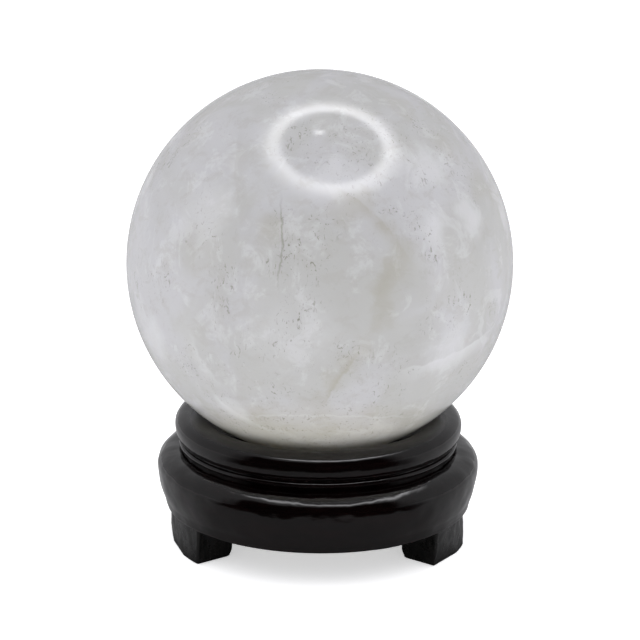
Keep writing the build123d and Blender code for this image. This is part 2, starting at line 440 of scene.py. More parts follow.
def quartz_material():
    """Polished skin of milky rock crystal: part of the light goes in, part is scattered back white."""
    material, tree = new_material("clouded_quartz")
    broad = noise_value(tree, object_place(tree), 34, detail=9, rough=0.58, warp=0.6)
    body = ramp(tree, broad, [(0.42, QUARTZ_GREY), (0.58, QUARTZ_LILAC)])
    wisps = noise_value(tree, object_place(tree, (1.0, 1.0, 0.8)), 125, detail=10, rough=0.66, warp=0.7)
    veined = mix_colour(tree, ramp(tree, wisps, [(0.52, 0.0), (0.62, 0.42)]), body, QUARTZ_WHITE)
    haze = noise_value(tree, object_place(tree, (0.9, 1.0, 1.2)), 210, detail=9, rough=0.7, warp=0.5)
    hazed = mix_colour(tree, ramp(tree, haze, [(0.51, 0.0), (0.62, 0.5)]), veined, QUARTZ_SHADE)
    clouded = with_clouds(tree, hazed, surface_clouds(), drifting_place(tree, 0.012, 110))
    # The streaks include the painted rim line, a painted image of the collar's far rim seen through the ball
    cracks_and_painted_rim = with_streaks(tree, clouded, STREAKS, drifting_place(tree, 0.003, 200))
    # Below the painted rim line the skin is painted brighter: painted light in place of the shade where the
    # ball sits in the collar
    colour = mix_colour(tree, speck_share(tree), with_painted_lower_light(tree, cracks_and_painted_rim), SPECK_OLIVE)
    return set_shader(
        material, Base_Color=colour, Roughness=0.0, IOR=QUARTZ_IOR, Transmission_Weight=SEE_THROUGH,
        Subsurface_Weight=1.0, Subsurface_Radius=SCATTER_COLOUR, Subsurface_Scale=SCATTER_DEPTH,
    )


def core_material():
    """The ball's cloudy inside, seen through the skin."""
    material, tree = new_material("quartz_core")
    broad = noise_value(tree, object_place(tree), 60, detail=7, rough=0.6, warp=1.0)
    body = ramp(tree, broad, [(0.38, CORE_SHADE), (0.62, CORE_WHITE)])
    streaks = noise_value(tree, object_place(tree, (1.0, 1.0, 0.4)), 110, detail=6, rough=0.6, warp=1.4)
    colour = mix_colour(tree, ramp(tree, streaks, [(0.52, 0.0), (0.68, 0.5)]), body, CORE_STAIN)
    return set_shader(material, Base_Color=colour, Roughness=0.9, Specular_IOR_Level=0.0)


def flaw_material(name, colour, roughness):
    """A flaw inside the ball: a fleck of another mineral or a bright crack."""
    material, tree = new_material(name)
    mottle = noise_value(tree, object_place(tree), 900, detail=3)
    darker = tuple(0.75 * channel for channel in colour)
    mottled = ramp(tree, mottle, [(0.35, darker), (0.65, colour)])
    return set_shader(material, Base_Color=mottled, Roughness=roughness, Specular_IOR_Level=0.2)


def lacquer_material():
    """Black-brown gloss lacquer over turned wood, a little redder where it is thin."""
    material, tree = new_material("black_lacquered_wood")
    dark, thin = LACQUER_COLOURS
    grain = noise_value(tree, object_place(tree, (1.0, 1.0, 6.0)), 90, detail=6, rough=0.65, warp=0.8)
    smear = noise_value(tree, object_place(tree), 160, detail=4)
    brush = noise_value(tree, object_place(tree, (1.0, 1.0, 5.0)), 450, detail=3)
    return set_shader(
        material, IOR=LACQUER_IOR,
        Base_Color=ramp(tree, grain, [(0.35, dark), (0.75, thin)]),
        Roughness=ramp(tree, smear, [(0.3, 0.04), (0.7, 0.10)]),
        Normal=bump(tree, brush, 0.03 * MM, 0.5),
    )


def carved_material():
    """Dark stained wood, knife-carved and thinly lacquered, its gloss uneven in blotches."""
    material, tree = new_material("carved_dark_wood")
    dark, pale = CARVED_COLOURS
    fibre = noise_value(tree, object_place(tree, (1.0, 1.0, 0.22)), 900, detail=5, rough=0.6)
    blotch = noise_value(tree, object_place(tree), 180, detail=4)
    return set_shader(
        material, IOR=LACQUER_IOR,
        Base_Color=ramp(tree, fibre, [(0.35, dark), (0.7, pale)]),
        Roughness=ramp(tree, blotch, [(0.3, 0.20), (0.7, 0.36)]),
        Normal=bump(tree, fibre, 0.08 * MM, 0.6),
    )


def dowel_material():
    """Bare pale birch with fine lengthwise grain."""
    material, tree = new_material("pale_dowel_wood")
    dark, pale = DOWEL_COLOURS
    grain = noise_value(tree, object_place(tree, (1.0, 1.0, 0.1)), 1500, detail=4)
    return set_shader(material, Base_Color=ramp(tree, grain, [(0.3, dark), (0.7, pale)]), Roughness=0.6)


# ---------------- mesh helpers
def new_piece(name, mesh, material, body):
    """Object for a mesh in the row frame, riding on a CAD body."""
    mesh.materials.clear()
    mesh.materials.append(material)
    piece = bpy.data.objects.new(name, mesh)
    bpy.context.scene.collection.objects.link(piece)
    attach(piece, body)
    return piece


def arc_points(centre, radii, start, end, count):
    """Points on an elliptical arc in the section's (radius, height) plane, angles in degrees."""
    angles = [math.radians(start + (end - start) * i / count) for i in range(count + 1)]
    return [(centre[0] + radii[0] * math.cos(a), centre[1] + radii[1] * math.sin(a)) for a in angles]


def hermite(start, start_pull, end, end_pull, count):
    """Points on a cubic from start to end, with the given pulls at its ends."""
    points = []
    for i in range(count + 1):
        t = i / count
        weights = (2*t**3 - 3*t**2 + 1, t**3 - 2*t**2 + t, -2*t**3 + 3*t**2, t**3 - t**2)
        pairs = zip(start, start_pull, end, end_pull)
        points.append(tuple(sum(w * v for w, v in zip(weights, four)) for four in pairs))
    return points


def line_points(start, end, step=0.6 * MM):
    """Evenly spaced points from start to end."""
    count = max(1, round(math.dist(start, end) / step))
    return [tuple(a + (b - a) * i / count for a, b in zip(start, end)) for i in range(count + 1)]


def chain(*runs):
    """The runs of points joined end to end, without doubled points, as a closed section."""
    joined = []
    for run in runs:
        for point in run:
            if not joined or math.dist(point, joined[-1]) > 1e-6:
                joined.append(point)
    if math.dist(joined[0], joined[-1]) < 1e-6:
        joined.pop()
    return joined


def ripple(point):
    """Height of the hand-finished lacquer's unevenness at a point, about -0.6 to 0.6."""
    place = Vector((point.x, point.y, point.z * 1.3)) / MM
    slow = noise.noise(place / 4.6 + Vector((7.3, 0, 0)))
    quick = noise.noise(place / 1.5 + Vector((0, 7.3, 0)))
    return slow + 0.16 * quick


def ripple_share(point):
    """How much of the ripple a point takes: none on the seat, in the bore or on glued faces."""
    radius = math.hypot(point.x, point.y)
    if radius < CREST_RADIUS or point.z < FOOT_HEIGHT + 0.1 * MM:
        return 0.0
    return 0.45 if point.z > SEAM_Z else 1.0


def turned_mesh(name, section, segments, ripple_height, sharp_angle=35):
    """Lathe mesh about +Z from a closed section of (radius, height) points, its outside faintly uneven."""
    count = len(section)
    mesh = bmesh.new()
    rings = []
    for j in range(segments):
        angle = 2 * math.pi * j / segments
        along = direction_at(angle)
        ring = []
        for i, (radius, height) in enumerate(section):
            before, after = section[i - 1], section[(i + 1) % count]
            tangent = Vector((after[0] - before[0], 0, after[1] - before[1])).normalized()
            square_off = along * tangent.z + Vector((0, 0, -tangent.x))
            point = along * radius + Vector((0, 0, height))
            point += square_off * ripple(point) * ripple_share(point) * ripple_height
            ring.append(mesh.verts.new(point))
        rings.append(ring)
    for j, ring in enumerate(rings):
        following = rings[(j + 1) % segments]
        for i in range(count):
            k = (i + 1) % count
            mesh.faces.new((ring[i], following[i], following[k], ring[k]))
    return finished_mesh(name, mesh, sharp_angle)


def finished_mesh(name, mesh, sharp_angle=35):
    """Smooth-shaded mesh data, facing outwards, with its hard corners kept."""
    bmesh.ops.recalc_face_normals(mesh, faces=mesh.faces)
    mesh.normal_update()
    for face in mesh.faces:
        face.smooth = True
    for edge in mesh.edges:
        if len(edge.link_faces) == 2:
            edge.smooth = edge.calc_face_angle() < math.radians(sharp_angle)
    data = bpy.data.meshes.new(name)
    mesh.to_mesh(data)
    mesh.free()
    return data


# ---------------- the stand
def collar_section():
    """Bevel, crest, outer side and spigot, in order from the bevel's inner edge."""
    seat_angle = math.asin(SEAT_RADIUS / BALL_RADIUS)
    apex_z = BALL_CENTRE.z - (BALL_RADIUS + SEAT_CLEARANCE) / math.cos(seat_angle)
    slope = math.tan(seat_angle)
    bevel_bottom = (BORE_RADIUS, apex_z + BORE_RADIUS * slope)
    bevel_top = (CREST_RADIUS - CREST_ROUND, apex_z + (CREST_RADIUS - CREST_ROUND) * slope)
    crest = (CREST_RADIUS, CREST_Z)
    pull = CREST_ROUND * 1.05
    spigot = SPIGOT_RADIUS - SPIGOT_CLEARANCE
    outer_radii = (COLLAR_RADIUS - CREST_RADIUS, CREST_Z - COLLAR_WAIST_Z)
    tuck_radii = (COLLAR_RADIUS - COLLAR_BOTTOM_RADIUS, COLLAR_WAIST_Z - COLLAR_BOTTOM_Z)
    return chain(
        line_points(bevel_bottom, bevel_top),
        hermite(bevel_top, (pull * math.cos(seat_angle), pull * math.sin(seat_angle)), crest, (pull, 0), 8),
        arc_points((CREST_RADIUS, COLLAR_WAIST_Z), outer_radii, 90, 0, 18),
        arc_points((COLLAR_BOTTOM_RADIUS, COLLAR_WAIST_Z), tuck_radii, 0, -90, 12),
        line_points((COLLAR_BOTTOM_RADIUS, COLLAR_BOTTOM_Z), (GROOVE_RADIUS, COLLAR_BOTTOM_Z), 0.3 * MM),
        line_points((GROOVE_RADIUS, COLLAR_BOTTOM_Z), (GROOVE_RADIUS, SEAM_Z), 0.2 * MM),
        line_points((GROOVE_RADIUS, SEAM_Z), (spigot, SEAM_Z), 3 * MM),
        line_points((spigot, SEAM_Z), (spigot, SPIGOT_Z), 2 * MM),
        line_points((spigot, SPIGOT_Z), (BORE_RADIUS, SPIGOT_Z), 3 * MM),
        line_points((BORE_RADIUS, SPIGOT_Z), bevel_bottom, 2 * MM),
    )


def base_ring_section():
    """Grooved top, bead, shoulder, belly, lip and underside, in order from the rebate's top corner."""
    rebate_z = SPIGOT_Z - SPIGOT_CLEARANCE
    bead_radii = (BEAD_RADIUS - GROOVE_RADIUS, (BEAD_TOP_Z - BEAD_BOTTOM_Z) / 2)
    shoulder_radii = (BELLY_RADIUS - SHOULDER_TOP_RADIUS, SHOULDER_TOP_Z - BELLY_Z)
    lip_radii = (LIP_RADIUS - FOOT_OUTER_RADIUS, LIP_Z - FOOT_HEIGHT)
    taper_pull = (0, LIP_TOP_Z - BELLY_Z)
    lip_pull = (2 * (LIP_TOP_RADIUS - BELLY_RADIUS), LIP_TOP_Z - BELLY_Z)
    return chain(
        line_points((SPIGOT_RADIUS, SEAM_Z), (GROOVE_RADIUS, SEAM_Z), 3 * MM),
        line_points((GROOVE_RADIUS, SEAM_Z), (GROOVE_RADIUS, BEAD_TOP_Z), 0.2 * MM),
        arc_points((GROOVE_RADIUS, (BEAD_TOP_Z + BEAD_BOTTOM_Z) / 2), bead_radii, 90, -90, 10),
        line_points((GROOVE_RADIUS, BEAD_BOTTOM_Z), (GROOVE_RADIUS, SHOULDER_TOP_Z), 0.2 * MM),
        line_points((GROOVE_RADIUS, SHOULDER_TOP_Z), (SHOULDER_TOP_RADIUS, SHOULDER_TOP_Z), 0.3 * MM),
        arc_points((SHOULDER_TOP_RADIUS, BELLY_Z), shoulder_radii, 90, 0, 26),
        hermite((BELLY_RADIUS, BELLY_Z), taper_pull, (LIP_TOP_RADIUS, LIP_TOP_Z), lip_pull, 24),
        line_points((LIP_TOP_RADIUS, LIP_TOP_Z), (LIP_RADIUS, LIP_Z), 0.3 * MM),
        arc_points((FOOT_OUTER_RADIUS, LIP_Z), lip_radii, 0, -90, 6),
        line_points((FOOT_OUTER_RADIUS, FOOT_HEIGHT), (BORE_RADIUS, FOOT_HEIGHT), 2 * MM),
        line_points((BORE_RADIUS, FOOT_HEIGHT), (BORE_RADIUS, rebate_z), 2 * MM),
        line_points((BORE_RADIUS, rebate_z), (SPIGOT_RADIUS, rebate_z), 3 * MM),
        line_points((SPIGOT_RADIUS, rebate_z), (SPIGOT_RADIUS, SEAM_Z), 2 * MM),
    )


def make_rings(material):
    """The collar and the base ring, as fine lathe meshes with the lacquer's faint ripple."""
    for node, section in (("stand_collar", collar_section()), ("stand_base_ring", base_ring_section())):
        mesh = turned_mesh(f"{node}_turned", section, RING_SEGMENTS, LACQUER_RIPPLE)
        piece = new_piece(f"{node}_turned", mesh, material, "stand")
        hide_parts(node)


def corner_arc(centre_turn, centre_radius, corner, first, last):
    """(point, outward) pairs round a foot's corner, from facing one way to facing another."""
    centre = direction_at(centre_turn) * centre_radius
    sweep = math.remainder(last - first, 2 * math.pi)
    facings = [direction_at(first + sweep * i / CORNER_STEPS) for i in range(CORNER_STEPS + 1)]
    return [(centre + outward * corner, outward) for outward in facings]


def foot_outline():
    """Plan outline of a foot that faces azimuth 0, as (point, outward) pairs, its four corners rounded.

    Each turn of the loop goes across one face with both its corners, then along a side to the next face.
    """
    half = math.radians(FOOT_SPAN / 2)
    pairs = []
    for side, radius, corner, inward, next_radius in (
        (-half, FOOT_OUTER_RADIUS, FOOT_OUTER_ROUND, -1, FOOT_INNER_RADIUS + FOOT_INNER_ROUND),
        (half, FOOT_INNER_RADIUS, FOOT_INNER_ROUND, 1, FOOT_OUTER_RADIUS - FOOT_OUTER_ROUND),
    ):
        centre_radius = radius + inward * corner
        centre_turn = side - math.copysign(math.asin(corner / centre_radius), side)
        side_facing = side + math.copysign(math.pi / 2, side)
        face_facing = 0.0 if inward < 0 else math.pi
        pairs += corner_arc(centre_turn, centre_radius, corner, side_facing, face_facing + centre_turn)
        for i in range(1, FACE_STEPS):
            along = direction_at(centre_turn * (1 - 2 * i / FACE_STEPS))
            pairs.append((along * radius, -along * inward))
        pairs += corner_arc(-centre_turn, centre_radius, corner, face_facing - centre_turn, -side_facing)
        start, outward = pairs[-1]
        end = direction_at(-side) * next_radius
        pairs += [(start.lerp(end, i / SIDE_STEPS), outward) for i in range(1, SIDE_STEPS)]
    return pairs


def carved(point, cuts):
    """The point pushed back behind each knife cut, a plane given by its facing and its reach."""
    for facing, reach in cuts:
        over = point.dot(facing) - reach
        if over > 0:
            point = point - facing * over
    return point


def knife_cuts(seed):
    """Flat cuts on a foot's outer face and its inner heel, for a foot that faces azimuth 0."""
    pick = random.Random(seed)
    cuts = []
    for turn, tilt, depth in KNIFE_CUTS:
        turn = math.radians(turn + pick.uniform(-1.5, 1.5))
        tilt = math.radians(tilt + pick.uniform(-2, 2))
        facing = direction_at(turn, tilt)
        middle = direction_at(turn) * FOOT_OUTER_RADIUS + Vector((0, 0, FOOT_HEIGHT / 2))
        cuts.append((facing, middle.dot(facing) - depth * pick.uniform(0.8, 1.3) * MM))
    heel_facing = Vector((0, 1, -1)).normalized()
    heel = Vector((0, -FOOT_INNER_RADIUS, 0))
    cuts.append((heel_facing, heel.dot(heel_facing) - HEEL_CUT))
    return cuts


def tool_marks(point, seed):
    """Depth of the fine gouges and slow waves that carving leaves at a point, in metres."""
    place = point / MM
    gouge = abs(noise.noise(Vector((place.x, place.y, place.z * 0.3)) / 0.8 + Vector((seed, 0, 0))))
    wave = abs(noise.noise(place / 2.8 + Vector((0, seed, 0))))
    return (0.07 * gouge + 0.22 * wave) * MM


def foot_mesh(name, azimuth, seed):
    """A knife-carved wedge: flat cuts on its outer face, eased edges and fine tool marks."""
    outline = foot_outline()
    cuts = knife_cuts(seed)
    turned_to = Matrix.Rotation(math.radians(azimuth), 3, "Z")
    levels = [0.0, 0.03, 0.09, 0.2, 0.36, 0.6] + [0.6 + 0.35 * i for i in range(1, 25)]
    levels = [height * MM for height in levels if height * MM < FOOT_HEIGHT - 0.1 * MM] + [FOOT_HEIGHT]
    loops = []
    for height in levels:
        rise = max(0.0, FOOT_SOLE_ROUND - height)
        inset = FOOT_SOLE_ROUND - math.sqrt(max(0.0, FOOT_SOLE_ROUND ** 2 - rise ** 2))
        marked = 0.5 * MM < height < FOOT_HEIGHT - 0.2 * MM
        loop = []
        for flat, outward in outline:
            point = carved(flat + Vector((0, 0, height)) - outward * inset, cuts)
            if marked:
                point = point - outward * tool_marks(point, seed)
            loop.append(turned_to @ point)
        loops.append(loop)
    mesh = bmesh.new()
    add_strip(mesh, loops)
    return finished_mesh(name, mesh, 50)


def make_feet(material):
    """Three feet, each carved a little differently."""
    for seed, (node, azimuth) in enumerate(FOOT_AZIMUTHS.items(), start=11):
        mesh = foot_mesh(f"{node}_carved", azimuth, seed)
        piece = new_piece(f"{node}_carved", mesh, material, "stand")
        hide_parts(node)


# ---------------- the ball
def cube_sphere(name, centre, radius, divisions):
    """Even quad sphere, from a cube's grid pushed out to the radius."""
    mesh = bmesh.new()
    ticks = [math.tan(math.pi / 4 * (2 * i / divisions - 1)) for i in range(divisions + 1)]
    found = {}
    for axis in range(3):
        for sign in (-1, 1):
            grid = []
            for u in ticks:
                row = []
                for v in ticks:
                    point = [0.0, 0.0, 0.0]
                    point[axis], point[(axis + 1) % 3], point[(axis + 2) % 3] = sign, u, v * sign
                    direction = Vector(point).normalized()
                    key = tuple(round(c, 5) for c in direction)
                    if key not in found:
                        found[key] = mesh.verts.new(centre + direction * radius)
                    row.append(found[key])
                grid.append(row)
            for i in range(divisions):
                for j in range(divisions):
                    mesh.faces.new((grid[i][j], grid[i + 1][j], grid[i + 1][j + 1], grid[i][j + 1]))
    return finished_mesh(name, mesh, 60)


def random_vector(pick, spread):
    """Vector with each part drawn from a bell curve of this spread."""
    return Vector([pick.gauss(0, spread) for _ in range(3)])


def mostly_small(pick, sizes, bias):
    """Size between two limits in millimetres, more often near the first, returned in metres."""
    return sizes[0] * (sizes[1] / sizes[0]) ** (pick.random() ** bias) * MM


def along_path(path, legs):
    """The (across, up) place that lies this many legs along a path."""
    i = min(int(legs), max(len(path) - 2, 0))
    start, end = path[i], path[min(i + 1, len(path) - 1)]
    return [a + (b - a) * (legs - i) for a, b in zip(start, end)]


def add_fleck(mesh, centre, facing, size, stretch, pick):
    """Adds one thin broken flake, turned to face roughly one way."""
    outward = (facing + random_vector(pick, 0.35)).normalized()
    spin = Matrix.Rotation(pick.uniform(0, 2 * math.pi), 3, outward)
    first = spin @ outward.orthogonal().normalized()
    second = outward.cross(first)
    corners = pick.randint(5, 8)
    rim = []
    for i in range(corners):
        angle = 2 * math.pi * (i + pick.uniform(-0.3, 0.3)) / corners
        reach = size * pick.uniform(0.45, 1.0)
        rim.append(first * math.cos(angle) * reach * stretch + second * math.sin(angle) * reach)
    thickness = outward * size * 0.12
    under = [centre + point * 0.9 - thickness for point in rim]
    top = [centre + point + thickness for point in rim]
    add_strip(mesh, [under, top])


def add_strip(mesh, sections):
    """Adds a closed strip through its cross-sections, each a loop of corners."""
    loops = [[mesh.verts.new(corner) for corner in section] for section in sections]
    for before, after in zip(loops, loops[1:]):
        for i, corner in enumerate(before):
            k = (i + 1) % len(before)
            mesh.faces.new((corner, before[k], after[k], after[i]))
    mesh.faces.new(loops[0][::-1])
    mesh.faces.new(loops[-1])


def add_stroke(mesh, centre, length, width, pick):
    """Adds one short hooked sliver, lying roughly along the ball's surface."""
    outward = (centre - BALL_CENTRE).normalized()
    heading = pick.uniform(0, 2 * math.pi)
    bend = pick.gauss(0, 0.55)
    east = outward.orthogonal().normalized()
    north = outward.cross(east)
    point = Vector(centre)
    rise = outward * width * 0.2
    step = length / STROKE_STEPS
    sections = []
    for j in range(STROKE_STEPS + 1):
        ahead = east * math.cos(heading) + north * math.sin(heading)
        fullness = 0.25 + 0.75 * math.sin(math.pi * (j + 0.6) / (STROKE_STEPS + 1.4))
        aside = outward.cross(ahead) * width * fullness * pick.uniform(0.5, 1.0) / 2
        corners = (aside + rise, rise - aside, -aside - rise, aside - rise)
        sections.append([point + corner for corner in corners])
        point = point + ahead * step - outward * pick.uniform(0, 0.25) * step
        heading += bend + pick.gauss(0, 0.3)
    add_strip(mesh, sections)


def stroke_cluster(mesh, across, up, spread, count, lengths, pick):
    """Slivers gathered about a place on the near side."""
    for _ in range(count):
        x, y = across + pick.gauss(0, spread), up + pick.gauss(0, spread)
        if math.hypot(x, y) < 0.97:
            place = in_ball(x, y, pick.uniform(0.3, 2.5) * MM)
            length = pick.uniform(*lengths) * MM
            add_stroke(mesh, place, length, length * pick.uniform(0.12, 0.35), pick)


def strokes_all_over(mesh, clusters, pick):
    """Slivers in loose groups over the whole ball."""
    for _ in range(clusters):
        middle = random_vector(pick, 1).normalized()
        spread = pick.uniform(0.02, 0.10)
        for _ in range(pick.randint(2, 12)):
            direction = (middle + random_vector(pick, spread)).normalized()
            place = BALL_CENTRE + direction * (BALL_RADIUS - pick.uniform(0.3, 4) * MM)
            length = pick.uniform(0.3, 1.5) * MM
            add_stroke(mesh, place, length, length * pick.uniform(0.1, 0.35), pick)


def scatter_along(mesh, path, depths, spread, count, sizes, stretch, pick):
    """Flecks about a path of (across, up) places, at depths and sizes between two limits in millimetres."""
    for _ in range(count):
        middle = along_path(path, pick.uniform(0, len(path) - 1))
        across, up = (part + pick.gauss(0, spread) for part in middle)
        reach = math.hypot(across, up)
        if reach > 0.96:
            across, up = across * 0.96 / reach, up * 0.96 / reach
        place = in_ball(across, up, pick.uniform(*depths) * MM)
        facing = (place - BALL_CENTRE).normalized()
        add_fleck(mesh, place, facing, mostly_small(pick, sizes, 1.6), stretch, pick)


def scatter_all_over(mesh, count, depths, sizes, pick):
    """Flecks in every part of the ball."""
    for _ in range(count):
        direction = random_vector(pick, 1).normalized()
        place = BALL_CENTRE + direction * (BALL_RADIUS - pick.uniform(*depths) * MM)
        add_fleck(mesh, place, direction, mostly_small(pick, sizes, 2), 1.0, pick)


def crack_ribbon(mesh, path, depth, width, pick):
    """Adds a thin torn ribbon along a path of (across, up) places, standing edge-on under the skin."""
    middles = []
    for j in range(RIBBON_STEPS + 1):
        across, up = along_path(path, (len(path) - 1) * j / RIBBON_STEPS)
        wander = noise.noise(Vector((j * 0.35, depth, width))) * 0.012
        middles.append(in_ball(across + wander, up + wander, depth * MM))
    sections = []
    for j, middle in enumerate(middles):
        ahead = middles[min(j + 1, RIBBON_STEPS)] - middles[max(j - 1, 0)]
        inward = (BALL_CENTRE - middle).normalized()
        aside = ahead.cross(inward).normalized() * CRACK_THICKNESS / 2
        taper = math.sin(math.pi * (j + 0.5) / (RIBBON_STEPS + 1)) ** 0.5
        deep = inward * width * taper * pick.uniform(0.5, 1.0) * MM
        sections.append((middle + aside, middle - aside, middle - aside + deep, middle + aside + deep))
    add_strip(mesh, sections)


def make_ball(skin_material, inside_material):
    """The polished sphere itself and its cloudy inside."""
    mesh = cube_sphere("ball_polished", BALL_CENTRE, BALL_RADIUS, BALL_DIVISIONS)
    piece = new_piece("ball_polished", mesh, skin_material, "ball")
    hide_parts("crystal_ball")
    core = cube_sphere("ball_core", BALL_CENTRE, CORE_RADIUS, CORE_DIVISIONS)
    for vert in core.vertices:
        direction = (vert.co - BALL_CENTRE).normalized()
        lump = noise.fractal(direction * 3.1, 0.8, 2.0, 4)
        vert.co += direction * lump * CORE_LUMPS
    new_piece("ball_core", core, inside_material, "ball")


# Clusters of dark slivers on the near side: (across, up), spread, count, shortest and longest in millimetres
STROKE_CLUSTERS = (
    (0.0, 0.20, 0.035, 16, (0.5, 1.6)), (-0.05, 0.14, 0.03, 10, (0.5, 1.6)),
    (-0.18, 0.02, 0.025, 16, (0.8, 2.2)), (-0.10, 0.0, 0.04, 14, (0.4, 1.4)),
    (-0.20, 0.22, 0.015, 6, (0.8, 2.4)), (-0.11, -0.27, 0.035, 18, (0.6, 1.9)),
    (-0.13, -0.38, 0.015, 5, (0.8, 1.8)), (-0.56, 0.17, 0.02, 6, (0.5, 1.3)),
    (-0.48, -0.06, 0.02, 8, (0.4, 1.2)), (0.50, 0.17, 0.035, 10, (0.4, 1.3)),
    (0.36, 0.27, 0.04, 8, (0.4, 1.2)), (0.48, 0.70, 0.03, 8, (0.5, 1.5)),
    (0.74, 0.42, 0.03, 14, (0.6, 2.0)), (0.12, -0.43, 0.03, 12, (0.5, 1.5)),
    (0.17, -0.46, 0.03, 8, (0.4, 1.2)), (0.54, -0.30, 0.02, 4, (0.6, 1.4)),
    (0.45, -0.53, 0.02, 6, (0.4, 0.9)), (0.72, -0.21, 0.02, 5, (0.6, 1.6)),
    (0.88, -0.21, 0.012, 4, (0.6, 1.4)), (-0.80, 0.50, 0.04, 16, (0.6, 2.0)),
    (-0.70, 0.62, 0.03, 10, (0.5, 1.6)), (-0.64, -0.54, 0.02, 6, (0.8, 2.2)),
    (-0.22, -0.63, 0.05, 12, (0.4, 1.2)), (-0.05, -0.62, 0.05, 10, (0.4, 1.2)),
    (-0.45, 0.33, 0.02, 8, (0.5, 1.5)), (-0.78, -0.10, 0.04, 8, (0.4, 1.3)),
    (0.02, -0.17, 0.05, 8, (0.3, 1.0)), (0.10, -0.04, 0.05, 8, (0.3, 1.0)),
    (-0.10, 0.60, 0.06, 14, (0.3, 1.0)), (0.05, 0.50, 0.06, 10, (0.3, 1.0)),
    (-0.26, 0.80, 0.02, 8, (0.5, 1.5)), (0.33, -0.65, 0.05, 12, (0.4, 1.2)),
    (-0.15, -0.82, 0.08, 16, (0.3, 1.0)), (0.15, -0.84, 0.08, 16, (0.3, 1.0)),
    (-0.35, -0.25, 0.06, 8, (0.3, 1.0)), (0.60, 0.02, 0.06, 8, (0.3, 1.0)),
)
SCATTERED_STROKE_CLUSTERS = 150

# White veils of flecks: path, depths, spread, count, sizes in millimetres, stretch
VEILS = (
    (
        ((0.26, 0.22), (0.31, -0.02), (0.35, -0.31), (0.17, -0.45), (0.04, -0.72)),
        (2, 9), 0.07, 420, (0.1, 0.5), 1.4,
    ),
    (((-0.48, -0.71), (-0.38, -0.79)), (0.6, 2.5), 0.012, 90, (0.12, 0.5), 1.8),
    (((0.75, 0.25),), (1, 5), 0.07, 160, (0.15, 0.7), 1.3),
    (((0.53, 0.49),), (1, 5), 0.06, 130, (0.15, 0.7), 1.3),
    (((-0.74, 0.63), (-0.87, 0.43)), (0.8, 4), 0.035, 170, (0.12, 0.6), 1.5),
    (((0.94, 0.24), (0.93, 0.1)), (0.8, 3), 0.02, 60, (0.12, 0.5), 1.5),
    (((-0.84, -0.41), (-0.7, -0.62)), (0.8, 4), 0.04, 150, (0.12, 0.6), 1.5),
    (((-0.01, 0.66),), (0.4, 1.2), 0.012, 26, (0.15, 0.6), 1.4),
    (((-0.7, 0.1), (-0.2, 0.5), (0.3, 0.55)), (2, 9), 0.12, 420, (0.1, 0.5), 1.3),
)
SCATTERED_FLECKS = 1500

# Bright cracks: path, depth and width in millimetres
CRACK_RIBBONS = (
    (((0.89, -0.31), (0.74, -0.42), (0.56, -0.49), (0.39, -0.53)), 1.2, 3.0),
    (((-0.48, -0.71), (-0.43, -0.75), (-0.37, -0.79)), 0.8, 2.2),
    (((-0.40, 0.70), (-0.41, 0.5), (-0.39, 0.32)), 1.5, 1.6),
    (((-0.88, -0.30), (-0.84, -0.41), (-0.76, -0.52)), 1.0, 2.4),
    (((-0.86, 0.42), (-0.80, 0.52), (-0.70, 0.64)), 1.0, 2.4),
    (((0.95, 0.24), (0.955, 0.1)), 0.8, 1.8),
    (((-0.19, 0.3), (-0.18, 0.1), (-0.2, -0.08)), 2.5, 1.0),
)


def make_flaws():
    """Dark specks, white veils and bright cracks under the skin."""
    pick = random.Random(4)
    specks = bmesh.new()
    for across, up, spread, count, lengths in STROKE_CLUSTERS:
        stroke_cluster(specks, across, up, spread, count, lengths, pick)
    strokes_all_over(specks, SCATTERED_STROKE_CLUSTERS, pick)
    veils = bmesh.new()
    for path, depths, spread, count, sizes, stretch in VEILS:
        scatter_along(veils, path, depths, spread, count, sizes, stretch, pick)
    scatter_all_over(veils, SCATTERED_FLECKS, (1, 12), (0.08, 0.5), pick)
    cracks = bmesh.new()
    for path, depth, width in CRACK_RIBBONS:
        crack_ribbon(cracks, path, depth, width, pick)
    for name, mesh, material in (
        ("ball_dark_specks", specks, flaw_material("dark_flecks", DARK_FLECK, 0.7)),
        ("ball_white_flecks", veils, flaw_material("white_flecks", WHITE_FLECK, 0.3)),
        ("ball_bright_cracks", cracks, flaw_material("bright_cracks", BRIGHT_CRACK, 0.15)),
    ):
        new_piece(name, finished_mesh(name, mesh), material, "ball")


# ---------------- the studio
def mirror_ray(tree):
    """1 on rays that a glossy surface mirrors, 0 on the camera's, diffuse and refracted rays."""
    path = add_node(tree, "ShaderNodeLightPath").outputs
    not_refracted = arithmetic(tree, "SUBTRACT", 1.0, path["Is Transmission Ray"])
    return arithmetic(tree, "MULTIPLY", path["Is Glossy Ray"], not_refracted)


def front_share(tree, across, ahead):
    """1 towards the front, fading to 0 at the sides, from a place's or a direction's two parts."""
    bearing = arithmetic(tree, "ABSOLUTE", arithmetic(tree, "ARCTAN2", across, ahead))
    half_turns = arithmetic(tree, "DIVIDE", bearing, math.pi)
    return ramp(tree, half_turns, [(OPENING_HALF_WIDTH[0] / 180, 1.0), (OPENING_HALF_WIDTH[1] / 180, 0.0)])


